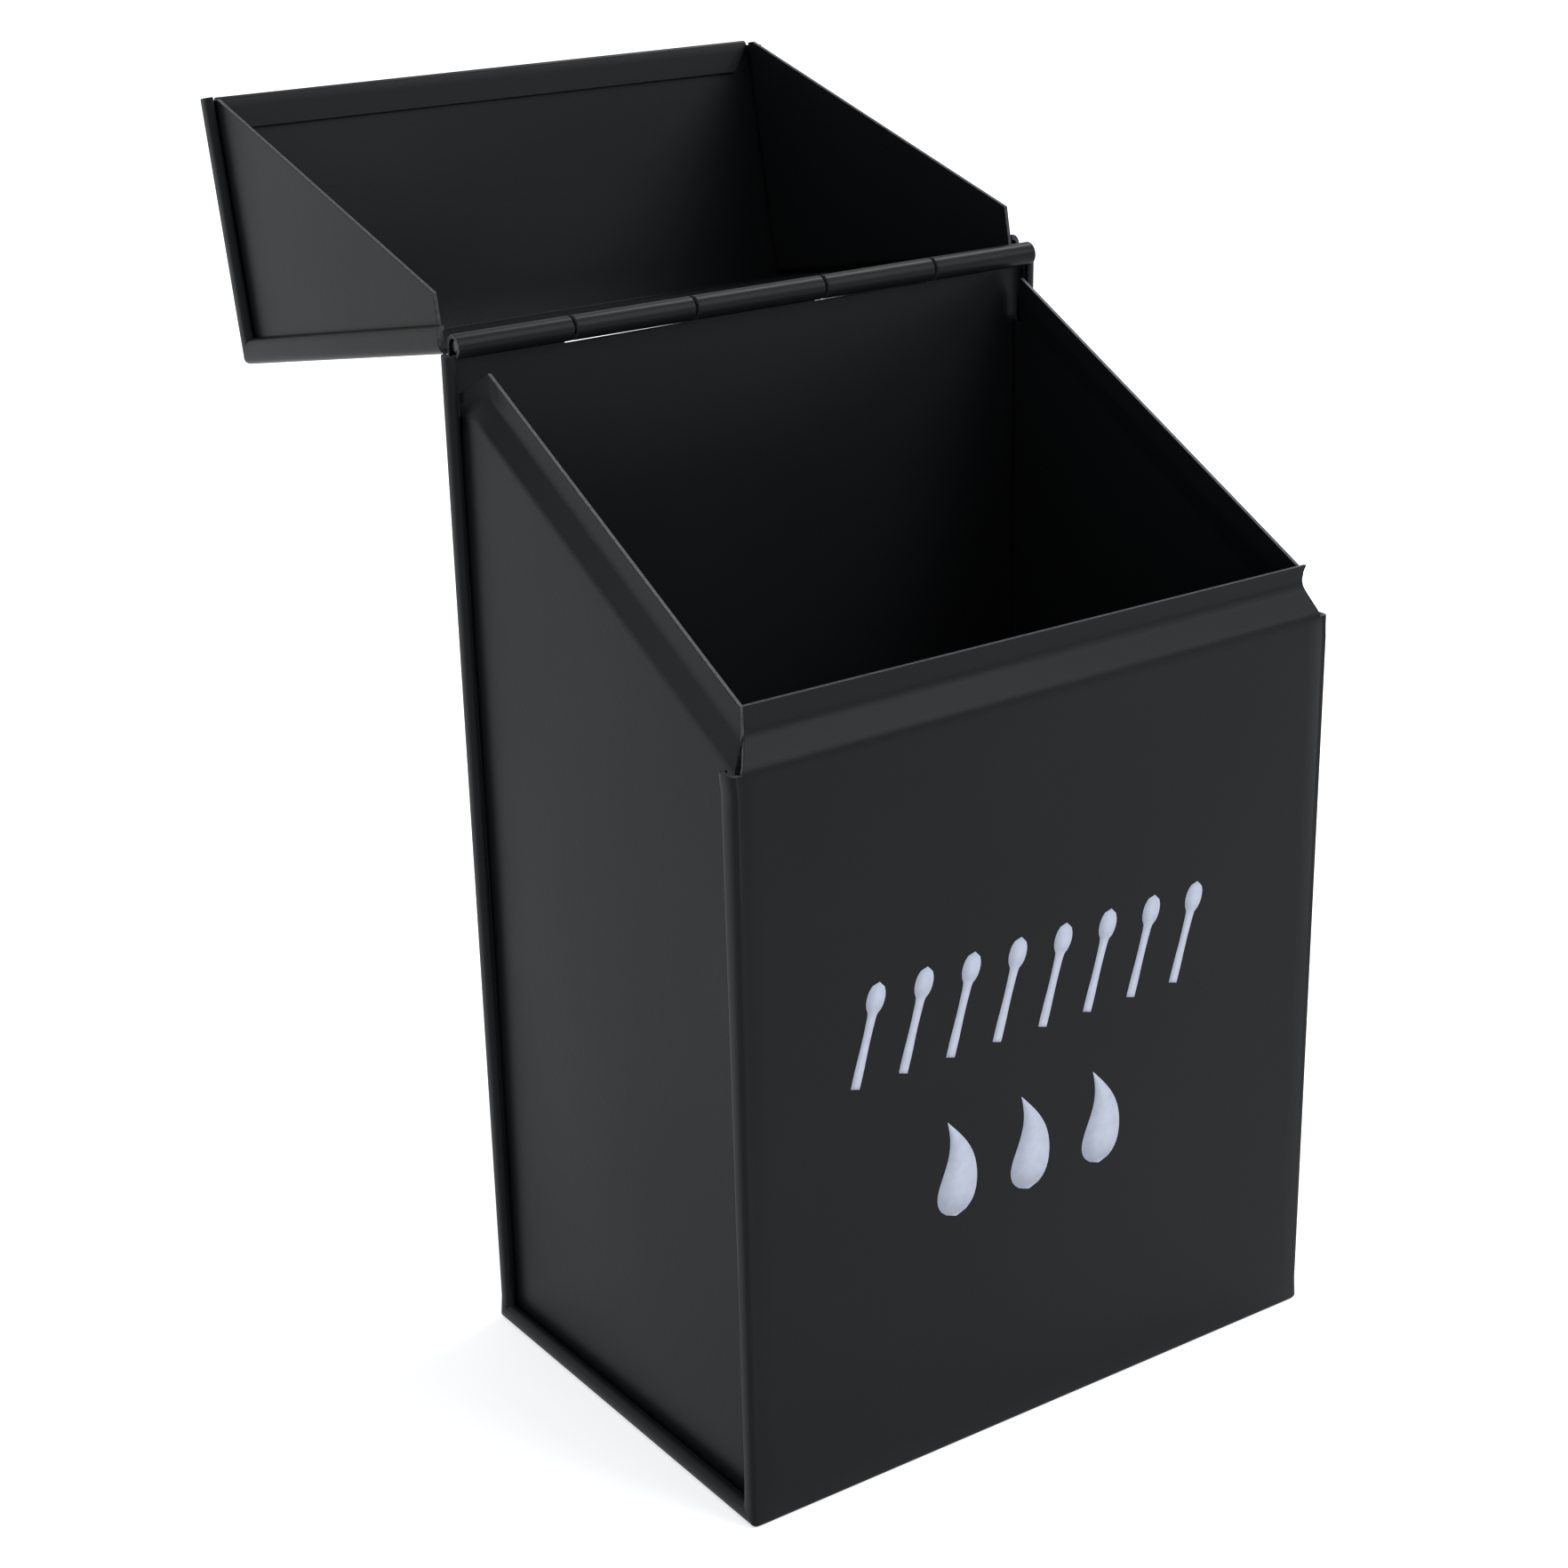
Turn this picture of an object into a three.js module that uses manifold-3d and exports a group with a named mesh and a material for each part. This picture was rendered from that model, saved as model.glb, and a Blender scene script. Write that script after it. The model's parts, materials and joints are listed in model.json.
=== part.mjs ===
// A metal matchbox: a folded sheet box with a slanted mouth and a wedge-shaped lid, hinged at the back.
// Millimetres, +Z up, front towards -Y, origin at the centre of the underside.
// The lid is drawn swung open.
import * as THREE from 'three';
import { mergeVertices } from 'three/addons/utils/BufferGeometryUtils.js';
import Module from 'manifold-3d';

const solids = await Module();
solids.setup();

// Sheet and folded rims
const SHEET = 0.5; // thickness of the steel sheet
const RIM_RADIUS = 1.2; // outside radius of the rolled rim along every side edge
const RIM_SWEEP = THREE.MathUtils.degToRad(162); // how far the sheet is rolled round at a rim
const SIDE_RECESS = 1.3; // outer face of a side panel behind the outermost line of the rim
const FIT = 0.35; // clearance of a side panel's edge inside the rolled rim

// Body
const BODY_WIDTH = 80;
const BODY_DEPTH = 55.2;
const FRONT_RIM_TOP = 87.2; // where the two front rims end
const BACK_RIM_TOP = 117.9; // where the two back rims end
const MOUTH_FRONT = 93.5; // top edge of the neck at the front
const MOUTH_BACK = 117.6; // top edge of the neck at its back end

// Neck that the lid closes over
const NECK_INSET_FRONT = 2.3; // front neck behind the front panel's outer face
const NECK_INSET_SIDE = 2.2; // side neck inside the outermost line of the rim
const NECK_SLOPE_RISE = 3.1; // height of the sloping part of the front neck
const NECK_BEND = 1.3; // length of each soft bend, measured from its corner
const SIDE_NECK_FRONT = 7; // height of the side neck at its front end
const SIDE_NECK_BACK = 4.6; // height of the side neck at its back end
const SIDE_NECK_SLOPE = 0.62; // share of a side neck's height that slopes
const SIDE_NECK_BEND = 0.12; // length of each bend, as a share of the neck's height
const SIDE_NECK_ROOT = 0.2; // overlap of neck and side panel, as a share of the neck's height
const SIDE_NECK_END = 4.5; // back end of the side neck in front of the back panel's outer face
const CORNER_SLIT = 0.35; // open slit between the front neck and a side neck
const NECK_END_CUT = 1.0; // how much narrower the front neck is below its top edge
const NECK_HOOK = 0.9; // height of the wider strip along the front neck's top edge

// Hinge
const HINGE_HEIGHT = 120.5;
const KNUCKLE_RADIUS = 1.4;
const KNUCKLE_SWEEP = THREE.MathUtils.degToRad(286); // how far the sheet is rolled round the pin
const KNUCKLE_GAP = 0.4; // free space between neighbouring knuckles
const HINGE_OVERHANG = 0.2; // how far the hinge reaches past the body on either side
const END_KNUCKLE = 15.2; // length of the first and the last knuckle
const MIDDLE_KNUCKLE = 18; // length of the knuckle in the middle
const PIN_CLEARANCE = 0.25;
const PIN_RECESS = 0.3; // end of the pin inside the end of its knuckle
const NOTCH_DEPTH = 2.5; // bottom of a notch in the back panel below the hinge axis

// Lid
const LID_SIDE_OVERHANG = 0.5; // how far the lid reaches past the body on either side
const LID_OVERHANG = 0.2; // lid front ahead of the body's front when shut
const LID_RISE = 0.74; // outer face of the lid's top panel above the hinge axis when shut
const LID_DROP = 31.3; // free edge of the lid's front panel below the hinge axis when shut
const STOP_GAP = 0.3; // space left between the opened lid's back edge and the back panel
const OPEN_ANGLE = THREE.MathUtils.degToRad(191.4);
const LID_SIDE_BACK = 5.9; // lower end of a lid side's back edge below the hinge axis
const LID_SIDE_SETBACK = 1.2; // back edge of a lid side in front of the top panel's back edge
const LID_HEM = 4; // height of the flat hem inside the lid's front edge
const LID_HEM_CUT = 2.6; // how far the ends of the flat hem are cut at a slant
const STEP_LENGTH = 2; // length of the step that lifts the lid's sheet to its knuckles
const STEP_LEVEL = 1; // level stretch between that step and the top of a knuckle

// Facets
const RIM_STEPS = 10;
const KNUCKLE_STEPS = 22;
const BEND_STEPS = 5;
const PIN_STEPS = 20;

// Places that follow from the sizes above
const frontFace = -BODY_DEPTH / 2;
const backFace = BODY_DEPTH / 2;
const hingeY = backFace - KNUCKLE_RADIUS;
const hingeEnd = BODY_WIDTH / 2 + HINGE_OVERHANG;
const lidWidth = BODY_WIDTH + 2 * LID_SIDE_OVERHANG;
const lidTop = LID_RISE;
const lidFront = frontFace - LID_OVERHANG - hingeY;
const lidBack = -(KNUCKLE_RADIUS + STOP_GAP + LID_RISE * Math.abs(Math.sin(OPEN_ANGLE)))
  / Math.abs(Math.cos(OPEN_ANGLE));
const flangeDepth = RIM_RADIUS - SHEET / 2;
const neckFrontFace = frontFace + NECK_INSET_FRONT;
const neckSideFace = BODY_WIDTH / 2 - NECK_INSET_SIDE;
const bodySideFace = BODY_WIDTH / 2 - SIDE_RECESS;
const lidSideFace = lidWidth / 2 - SIDE_RECESS;

const alongX = new THREE.Matrix4().makeBasis(
  new THREE.Vector3(0, 1, 0),
  new THREE.Vector3(0, 0, 1),
  new THREE.Vector3(1, 0, 0),
);
const alongY = new THREE.Matrix4().makeBasis(
  new THREE.Vector3(1, 0, 0),
  new THREE.Vector3(0, 0, 1),
  new THREE.Vector3(0, -1, 0),
);

// Turns a closed geometry into a solid that can be joined or cut.
function solidOf(geometry) {
  const bare = new THREE.BufferGeometry();
  bare.setAttribute('position', geometry.getAttribute('position').clone());
  if (geometry.index) {
    bare.setIndex(geometry.index.clone());
  }
  const merged = mergeVertices(bare, 1e-5);
  const mesh = new solids.Mesh({
    numProp: 3,
    vertProperties: new Float32Array(merged.getAttribute('position').array),
    triVerts: new Uint32Array(merged.index.array),
  });
  return new solids.Manifold(mesh);
}

function geometryOf(solid) {
  const mesh = solid.getMesh();
  const geometry = new THREE.BufferGeometry();
  geometry.setAttribute('position', new THREE.Float32BufferAttribute(mesh.vertProperties, 3));
  geometry.setIndex(Array.from(mesh.triVerts));
  geometry.computeVertexNormals();
  return geometry;
}

// The same piece for the other side of the object, mirrored left to right.
function mirrored(geometry) {
  const twin = geometry.clone().scale(-1, 1, 1);
  twin.setIndex(Array.from(geometry.index.array).reverse());
  twin.computeVertexNormals();
  return twin;
}

function joined(parts) {
  return parts.reduce((whole, part) => whole.add(part));
}

// A closed outline in the Y-Z plane, drawn out along X from x0 to x1.
function across(outline, x0, x1) {
  const shape = new THREE.Shape(outline.map(([y, z]) => new THREE.Vector2(y, z)));
  const geometry = new THREE.ExtrudeGeometry(shape, { depth: x1 - x0, bevelEnabled: false });
  geometry.applyMatrix4(alongX);
  geometry.translate(x0, 0, 0);
  return solidOf(geometry);
}

// A closed outline in the X-Z plane, drawn out along Y from y0 to y1.
function through(outline, y0, y1) {
  const shape = new THREE.Shape(outline.map(([x, z]) => new THREE.Vector2(x, z)));
  const geometry = new THREE.ExtrudeGeometry(shape, { depth: y1 - y0, bevelEnabled: false });
  geometry.applyMatrix4(alongY);
  geometry.translate(0, y1, 0);
  return solidOf(geometry);
}

function block([x0, y0, z0], [x1, y1, z1]) {
  const geometry = new THREE.BoxGeometry(x1 - x0, y1 - y0, z1 - z0);
  geometry.translate((x0 + x1) / 2, (y0 + y1) / 2, (z0 + z1) / 2);
  return solidOf(geometry);
}

// The volume inside a closed surface, negative where its faces look inwards.
function enclosedVolume(positions, faces) {
  const corner = (index) => new THREE.Vector3().fromArray(positions, 3 * index);
  let volume = 0;
  for (let i = 0; i < faces.length; i += 3) {
    const [a, b, c] = faces.slice(i, i + 3).map(corner);
    volume += a.dot(b.cross(c)) / 6;
  }
  return volume;
}

// Carries a closed section along stations.
// Each station turns a point of the section into a point of the object.
function carried(section, stations) {
  const flat = section.map(([u, v]) => new THREE.Vector2(u, v));
  if (THREE.ShapeUtils.isClockWise(flat)) {
    flat.reverse();
  }
  const count = flat.length;
  const positions = stations.flatMap((place) => flat.flatMap((point) => place(point.toArray())));
  const last = (stations.length - 1) * count;
  const faces = [];
  for (let start = 0; start < last; start += count) {
    for (let i = 0; i < count; i += 1) {
      const a = start + i;
      const b = start + (i + 1) % count;
      faces.push(a, b, b + count, a, b + count, a + count);
    }
  }
  for (const [a, b, c] of THREE.ShapeUtils.triangulateShape(flat, [])) {
    faces.push(a, c, b, last + a, last + b, last + c);
  }
  const geometry = new THREE.BufferGeometry();
  geometry.setAttribute('position', new THREE.Float32BufferAttribute(positions, 3));
  geometry.setIndex(enclosedVolume(positions, faces) > 0 ? faces : faces.reverse());
  return solidOf(geometry);
}

// Rounds each inner corner of an open path with a soft bend that starts `length` before the corner.
function softened(corners, length) {
  const points = [new THREE.Vector2(...corners[0])];
  for (let i = 1; i + 1 < corners.length; i += 1) {
    const corner = new THREE.Vector2(...corners[i]);
    const before = new THREE.Vector2(...corners[i - 1]).sub(corner).setLength(length).add(corner);
    const after = new THREE.Vector2(...corners[i + 1]).sub(corner).setLength(length).add(corner);
    points.push(...new THREE.QuadraticBezierCurve(before, corner, after).getPoints(BEND_STEPS));
  }
  points.push(new THREE.Vector2(...corners.at(-1)));
  return points.map((point) => point.toArray());
}

function arc([cy, cz], radius, start, sweep, steps) {
  return Array.from({ length: steps + 1 }, (_, i) => {
    const angle = start + (sweep * i) / steps;
    return [cy + radius * Math.cos(angle), cz + radius * Math.sin(angle)];
  });
}

// The outline of a sheet whose outer face follows the path. Its thickness lies to the left of the path.
function sheetOutline(path) {
  const inner = path.map(([y, z], i) => {
    const here = new THREE.Vector2(y, z);
    const back = new THREE.Vector2(...path[Math.max(i - 1, 0)]);
    const ahead = new THREE.Vector2(...path[Math.min(i + 1, path.length - 1)]);
    const into = i > 0 ? here.clone().sub(back).normalize() : ahead.clone().sub(here).normalize();
    const out = i + 1 < path.length ? ahead.clone().sub(here).normalize() : into;
    const mean = into.clone().add(out).normalize();
    const reach = SHEET / mean.dot(into);
    return [y - mean.y * reach, z + mean.x * reach];
  });
  return [...path, ...inner.reverse()];
}

// The section of a folded wrap: a flat panel between two rolled rims, as [x, depth below the outer face].
function wrapSection(width) {
  const centre = width / 2 - RIM_RADIUS;
  const rim = (radius) => Array.from({ length: RIM_STEPS + 1 }, (_, i) => {
    const angle = (RIM_SWEEP * i) / RIM_STEPS;
    return [centre + radius * Math.sin(angle), RIM_RADIUS - radius * Math.cos(angle)];
  });
  const right = [...rim(RIM_RADIUS), ...rim(RIM_RADIUS - SHEET).reverse()];
  const left = right.map(([x, depth]) => [-x, depth]).reverse();
  return [...right, ...left];
}

// The section of the narrow flange that a side panel carries inside the rolled rim.
function flangeSection(sideFace, width) {
  const tip = width / 2 - SHEET - FIT;
  const root = sideFace - SHEET;
  return [
    [root, flangeDepth],
    [tip, flangeDepth],
    [tip, flangeDepth + SHEET],
    [root, flangeDepth + SHEET],
  ];
}

// Stations of the body's wrap: down the front, under the bottom and up the back.
function bodyPath(frontTop, backTop) {
  return [
    ([x, depth]) => [x, frontFace + depth, frontTop],
    ([x, depth]) => [x, frontFace + depth, depth],
    ([x, depth]) => [x, backFace - depth, depth],
    ([x, depth]) => [x, backFace - depth, backTop],
  ];
}

// Stations of the lid's wrap, shut and measured from the hinge axis.
// They run forward over the top and down the front.
function lidPath(back, drop) {
  return [
    ([x, depth]) => [x, back, lidTop - depth],
    ([x, depth]) => [x, lidFront + depth, lidTop - depth],
    ([x, depth]) => [x, lidFront + depth, -drop],
  ];
}

// The ends along X of the five knuckles, from left to right.
function knuckleEnds() {
  const marks = [
    -hingeEnd,
    END_KNUCKLE - hingeEnd,
    -MIDDLE_KNUCKLE / 2,
    MIDDLE_KNUCKLE / 2,
    hingeEnd - END_KNUCKLE,
    hingeEnd,
  ];
  return marks.slice(1).map((end, i) => {
    const start = marks[i] + (i > 0 ? KNUCKLE_GAP / 2 : 0);
    return [start, end - (i + 2 < marks.length ? KNUCKLE_GAP / 2 : 0)];
  });
}

const knuckles = knuckleEnds();
const bodyKnuckles = knuckles.filter((_, i) => i % 2 === 0);
const lidKnuckles = knuckles.filter((_, i) => i % 2 === 1);

function frontNeck() {
  const slopeTop = FRONT_RIM_TOP + NECK_SLOPE_RISE;
  const root = FRONT_RIM_TOP - NECK_BEND - SHEET;
  const path = softened([
    [neckFrontFace, MOUTH_FRONT],
    [neckFrontFace, slopeTop],
    [frontFace, FRONT_RIM_TOP],
    [frontFace, root],
  ], NECK_BEND);
  const wide = BODY_WIDTH / 2 - RIM_RADIUS;
  const narrow = neckSideFace - SHEET - CORNER_SLIT;
  const right = [
    [wide, root - SHEET],
    [wide, FRONT_RIM_TOP],
    [narrow - NECK_END_CUT, slopeTop],
    [narrow - NECK_END_CUT, MOUTH_FRONT - 2 * NECK_HOOK],
    [narrow, MOUTH_FRONT - NECK_HOOK],
    [narrow, MOUTH_FRONT + NECK_HOOK],
  ];
  const left = right.map(([x, z]) => [-x, z]).reverse();
  const strip = across(sheetOutline(path), -wide, wide);
  return strip.intersect(through([...right, ...left], frontFace - SHEET, neckFrontFace + 2 * SHEET));
}

function bodyKnuckle([start, end]) {
  const roll = arc([hingeY, HINGE_HEIGHT], KNUCKLE_RADIUS, 0, KNUCKLE_SWEEP, KNUCKLE_STEPS);
  const above = BACK_RIM_TOP + FIT;
  const below = BACK_RIM_TOP - SHEET;
  const flat = BODY_WIDTH / 2 - RIM_RADIUS;
  const rolled = across(sheetOutline([[backFace, above], ...roll]), start, end);
  const root = block(
    [Math.max(start, -flat), backFace - SHEET, below],
    [Math.min(end, flat), backFace, above + SHEET],
  );
  return rolled.add(root);
}

function bodyShell() {
  const wrap = carried(wrapSection(BODY_WIDTH), bodyPath(FRONT_RIM_TOP, BACK_RIM_TOP));
  const whole = joined([wrap, frontNeck(), ...bodyKnuckles.map(bodyKnuckle)]);
  const notches = lidKnuckles.map(([start, end]) => block(
    [start - KNUCKLE_GAP, backFace - 2 * SHEET, HINGE_HEIGHT - NOTCH_DEPTH],
    [end + KNUCKLE_GAP, backFace + SHEET, BACK_RIM_TOP + SHEET],
  ));
  return notches.reduce((rest, notch) => rest.subtract(notch), whole);
}

// The body's right side panel: a recessed plate with flanges in the rims.
// Along its top the sheet is set inwards to form the side neck.
function bodySide() {
  const flangeTop = MOUTH_BACK - SIDE_NECK_BACK;
  const flange = carried(
    flangeSection(bodySideFace, BODY_WIDTH),
    bodyPath(FRONT_RIM_TOP - FIT, flangeTop),
  );
  const neckFront = neckFrontFace;
  const neckBack = backFace - SIDE_NECK_END;
  const front = frontFace + flangeDepth;
  const back = backFace - flangeDepth;
  const plateOutline = [
    [front, flangeDepth],
    [back, flangeDepth],
    [back, flangeTop],
    [neckBack, flangeTop],
    [neckFront, MOUTH_FRONT - SIDE_NECK_FRONT],
    [front, MOUTH_FRONT - SIDE_NECK_FRONT],
  ];
  const plate = across(plateOutline, bodySideFace - SHEET, bodySideFace);
  const outer = softened([
    [bodySideFace, -SIDE_NECK_ROOT],
    [bodySideFace, 0],
    [neckSideFace, SIDE_NECK_SLOPE],
    [neckSideFace, 1],
  ], SIDE_NECK_BEND);
  const inner = outer.map(([x, height]) => [x - SHEET, height]).reverse();
  const station = (y, top, height) => ([x, share]) => [x, y, top - (1 - share) * height];
  const neck = carried([...outer, ...inner], [
    station(neckFront, MOUTH_FRONT, SIDE_NECK_FRONT),
    station(neckBack, MOUTH_BACK, SIDE_NECK_BACK),
  ]);
  return joined([plate, flange, neck]);
}

function lidKnuckle([start, end]) {
  const roll = arc([0, 0], KNUCKLE_RADIUS, Math.PI / 2, -KNUCKLE_SWEEP, KNUCKLE_STEPS);
  const stepEnd = -STEP_LEVEL;
  const stepStart = stepEnd - STEP_LENGTH;
  const path = [
    [stepStart - 2 * SHEET, lidTop],
    [stepStart, lidTop],
    [stepEnd, KNUCKLE_RADIUS],
    ...roll,
  ];
  return across(sheetOutline(path.reverse()), start, end);
}

function lidShell() {
  const wrap = carried(wrapSection(lidWidth), lidPath(lidBack, LID_DROP));
  const stepStart = -STEP_LEVEL - STEP_LENGTH;
  const notches = lidKnuckles.map(([start, end]) => block(
    [start - KNUCKLE_GAP, stepStart, lidTop - 2 * SHEET],
    [end + KNUCKLE_GAP, SHEET, lidTop + SHEET],
  ));
  const hemEnd = lidSideFace - SHEET - FIT;
  const hemOutline = [
    [-hemEnd, -LID_DROP],
    [hemEnd, -LID_DROP],
    [hemEnd - LID_HEM_CUT, LID_HEM - LID_DROP],
    [LID_HEM_CUT - hemEnd, LID_HEM - LID_DROP],
  ];
  const hem = through(hemOutline, lidFront + SHEET / 2, lidFront + 2 * SHEET);
  const cut = notches.reduce((rest, notch) => rest.subtract(notch), wrap);
  return joined([cut, hem, ...lidKnuckles.map(lidKnuckle)]);
}

// The lid's right side panel: a recessed wedge with flanges in the rims.
function lidSide() {
  const back = lidBack - LID_SIDE_SETBACK;
  const flange = carried(
    flangeSection(lidSideFace, lidWidth),
    lidPath(back, LID_DROP - FIT),
  );
  const front = lidFront + flangeDepth;
  const outline = [
    [back, lidTop - flangeDepth],
    [front, lidTop - flangeDepth],
    [front, FIT - LID_DROP],
    [lidFront + 2 * RIM_RADIUS, FIT - LID_DROP],
    [back, -LID_SIDE_BACK],
  ];
  return across(outline, lidSideFace - SHEET, lidSideFace).add(flange);
}

function hingePin() {
  const radius = KNUCKLE_RADIUS - SHEET - PIN_CLEARANCE;
  const length = 2 * (hingeEnd - PIN_RECESS);
  const geometry = new THREE.CylinderGeometry(radius, radius, length, PIN_STEPS);
  geometry.rotateZ(Math.PI / 2);
  geometry.translate(0, hingeY, HINGE_HEIGHT);
  return solidOf(geometry);
}

// Satin black paint on steel; the inside of the lid catches a little more light than the body.
function blackPaint(color) {
  return new THREE.MeshStandardMaterial({ color, roughness: 0.5, metalness: 0.1 });
}

function piece(name, geometry, material) {
  const mesh = new THREE.Mesh(geometry, material);
  mesh.name = name;
  return mesh;
}

const bodySideRight = geometryOf(bodySide());
const lidSideRight = geometryOf(lidSide());
const matchbox = new THREE.Group();
matchbox.add(piece('body_shell', geometryOf(bodyShell()), blackPaint(0x26272a)));
matchbox.add(piece('body_side_left', mirrored(bodySideRight), blackPaint(0x2e3030)));
matchbox.add(piece('body_side_right', bodySideRight, blackPaint(0x2e3030)));
matchbox.add(piece('hinge_pin', geometryOf(hingePin()), new THREE.MeshStandardMaterial({
  color: 0x3a3b3d,
  roughness: 0.4,
  metalness: 0.8,
})));

const lid = new THREE.Group();
lid.position.set(0, hingeY, HINGE_HEIGHT);
lid.rotation.x = -OPEN_ANGLE;
lid.add(piece('lid_shell', geometryOf(lidShell()), blackPaint(0x2c2c30)));
lid.add(piece('lid_side_left', mirrored(lidSideRight), blackPaint(0x3a3c40)));
lid.add(piece('lid_side_right', lidSideRight, blackPaint(0x1d1e20)));
matchbox.add(lid);

export default matchbox;
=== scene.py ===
"""Dresses the metal matchbox: folded and rolled sheet pieces, satin black paint, a plain print
and a plain stage."""

import json
import math

import bpy
import numpy as np
from mathutils import Matrix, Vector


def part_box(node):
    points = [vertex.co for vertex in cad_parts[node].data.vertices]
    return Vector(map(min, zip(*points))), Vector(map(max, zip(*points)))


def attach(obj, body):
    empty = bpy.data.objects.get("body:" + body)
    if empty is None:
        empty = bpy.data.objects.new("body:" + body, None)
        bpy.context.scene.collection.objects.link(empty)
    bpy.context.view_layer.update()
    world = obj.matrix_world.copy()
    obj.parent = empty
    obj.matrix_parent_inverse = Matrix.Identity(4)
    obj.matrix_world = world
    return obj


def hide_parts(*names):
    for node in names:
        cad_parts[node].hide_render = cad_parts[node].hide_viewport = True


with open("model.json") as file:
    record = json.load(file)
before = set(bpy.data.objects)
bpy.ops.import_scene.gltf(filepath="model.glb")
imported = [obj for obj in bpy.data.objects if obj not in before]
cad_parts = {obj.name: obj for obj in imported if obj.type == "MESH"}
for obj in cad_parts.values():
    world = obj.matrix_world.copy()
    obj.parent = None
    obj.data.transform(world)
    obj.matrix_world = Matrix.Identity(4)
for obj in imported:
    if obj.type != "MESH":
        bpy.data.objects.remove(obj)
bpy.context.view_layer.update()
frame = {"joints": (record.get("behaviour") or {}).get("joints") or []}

bl_info = {
    "name": "Metal matchbox",
    "version": (1, 0, 0),
    "blender": (4, 5, 0),
    "location": "3D View > Sidebar > Matchbox",
    "description": "Builds a folded sheet-metal matchbox with an open lid, its paint and its stage",
    "category": "Add Mesh",
}

BODY_LOW, BODY_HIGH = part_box("body_shell")
LID_LOW, LID_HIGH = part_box("lid_shell")
HINGE = next(joint for joint in frame["joints"] if joint["name"] == "lid_hinge")
MM = 0.001

# Sizes of the folded sheet that a user is unlikely to change, in millimetres
RIM_SWEEP = math.radians(175)
KNUCKLE_SWEEP = math.radians(286)
KNUCKLE_GAP = 0.4
END_KNUCKLE = 15.2
MIDDLE_KNUCKLE = 18.0
FIT = 0.35
FOLD_RADIUS = 0.6  # outside radius of the folds along the bottom
MITRE_RADIUS = 0.12  # what is left of that radius deep inside a rim
LIP_BEND = 0.15  # inside radius of the lip that a side panel carries in the rim
RIM_SQUARE = 0.62  # power that makes the pressed rims squarer than round ones
TOP_RIM_SQUARE = 0.75  # the same power for the rims along the lid's top
RIM_STEPS = 14  # columns of the sheet round a rim
KNUCKLE_STEPS = 30  # rows of the sheet round a knuckle
CREASE_TILT = (0.2, 0.95)  # the crease under the front neck rises by this at the left and at the right
RIM_END = 0.62  # the front rims end at the first row of the neck that lies this far above their top
LIP_MARGIN = 0.7  # between the root of a lip and the plate's first or last free column
STEP_END = 4.2  # the step up to the lid's knuckles ends this far in front of the hinge axis
CUT_EDGE = 0.09  # width of the bevel on a cut edge
PIN_PLAY = 0.12  # between the wire and the inside of a knuckle
PIN_RECESS = 0.75  # end of the wire inside the end of its knuckle
LID_PLAY = 0.3  # between the open lid's back edge and the knuckles
HELD_WIDTH = 30.0  # the sheet's columns within this distance of the middle stay straight
ROW_STEP = 2.2  # longest distance between two rows of a wrap
DISHING = 0.12  # depth of the soft unevenness of the front and back panels
SMALL_DISHING = 0.1  # the same depth on the side panels and on the lid's front
BACK_RIM_DEPTH = 0.88  # depth of the back rims as a share of a round one's
TOP_RIM_SINK = 0.33  # the rims along the lid's top sink by this share of their depth
LAP_PLAY = 0.2  # between the front neck and the right side neck behind it
RIGHT_NECK_REACH = 2.3  # the right side neck goes on this much further back than the left one
NECK_END_HEIGHT = 2.6  # height of the side neck's band where it dies away
NECK_SLOPE = 0.55  # share of the side neck's height that slopes
HEM_BEND = 0.1  # inside radius of the lid's hem
HEM_PLAY = 0.12  # between the ends of the hem and the side panels
HEM_TAPER = 0.65  # each end of the hem is set in by this much for each millimetre of its height

# Stage: strengths, of which 1 is white, and the photo's frame and focal length in pixels
SKY_STRENGTH = 0.6
FLOOR_GLOW = 0.6
COOL_LIGHT = (0.93, 0.96, 1.0, 1.0)
FLOOR_REACH = 6000.0  # from the middle of the floor to its sides, in millimetres
FRAME_PIXELS = 1764
FOCAL_PIXELS = 3346.8
CAMERA_PLACE = (-0.19052, -0.25369, 0.19144)  # in metres


def linear(code, alpha=1.0):
    """An sRGB hex colour as linear values: v/12.92 below 0.04045, else ((v+0.055)/1.055)^2.4."""
    values = [int(code[i : i + 2], 16) / 255 for i in (1, 3, 5)]
    light = [v / 12.92 if v <= 0.04045 else ((v + 0.055) / 1.055) ** 2.4 for v in values]
    return (*light, alpha)


def length(name, description, millimetres):
    return bpy.props.FloatProperty(
        name=name, description=description, default=millimetres * MM, min=0.0, precision=5, unit="LENGTH"
    )


def colour(name, description, code):
    return bpy.props.FloatVectorProperty(
        name=name,
        description=description,
        default=linear(code)[:3],
        size=3,
        min=0.0,
        max=1.0,
        subtype="COLOR",
    )


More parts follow.
